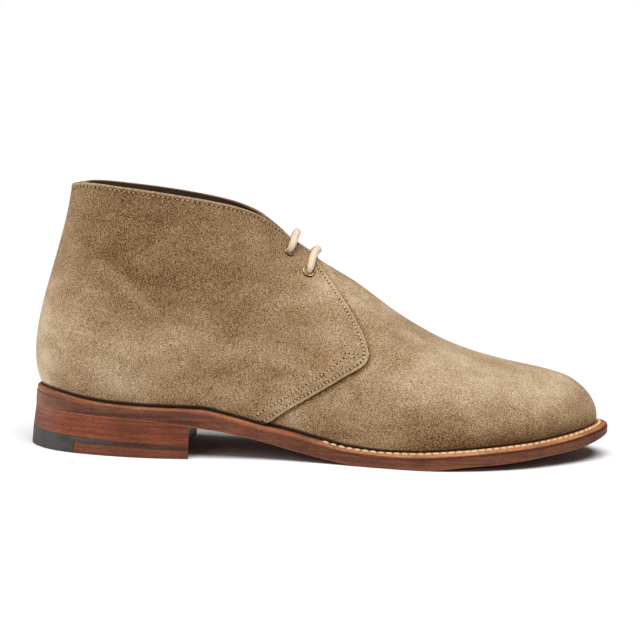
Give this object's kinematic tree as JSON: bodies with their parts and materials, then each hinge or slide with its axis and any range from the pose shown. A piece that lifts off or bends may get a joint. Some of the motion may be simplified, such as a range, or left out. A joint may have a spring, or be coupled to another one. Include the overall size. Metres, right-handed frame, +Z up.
{
  "type": "chukka boot",
  "caption": "Ankle-high suede chukka boot with an open collar, laced throat, welted leather sole and stacked heel with a rubber back corner.",
  "frame": {"origin": "under the middle of the bounding box, on the floor the sole stands on", "axes": "+X to the toe, +Y to the inner (medial) side of the foot, +Z up"},
  "size_m": [0.3046, 0.1036, 0.1374],
  "materials": {
    "suede": "brushed suede",
    "tongue_suede": "brushed suede",
    "insole_leather": "smooth matt",
    "welt_leather": "waxed",
    "sole_leather": "burnished",
    "heel_leather": "burnished",
    "dark_leather": "burnished",
    "heel_rubber": "matt",
    "eyelet_brass": "antique",
    "lace": "waxed round cord"
  },
  "bodies": {
    "root": {"upper": "suede", "tongue": "tongue_suede", "insole": "insole_leather", "welt": "welt_leather", "outsole": "sole_leather", "heel_rand": "heel_leather", "heel_lift_upper": "heel_leather", "heel_lift_lower": "heel_leather", "heel_thin_lift": "dark_leather", "heel_top_piece": "heel_leather", "rubber_tip": "heel_rubber", "eyelet_lower_lateral": "eyelet_brass", "eyelet_lower_medial": "eyelet_brass", "eyelet_upper_lateral": "eyelet_brass", "eyelet_upper_medial": "eyelet_brass", "lace_bar_lower": "lace", "lace_bar_upper": "lace"}
  },
  "joints": []
}
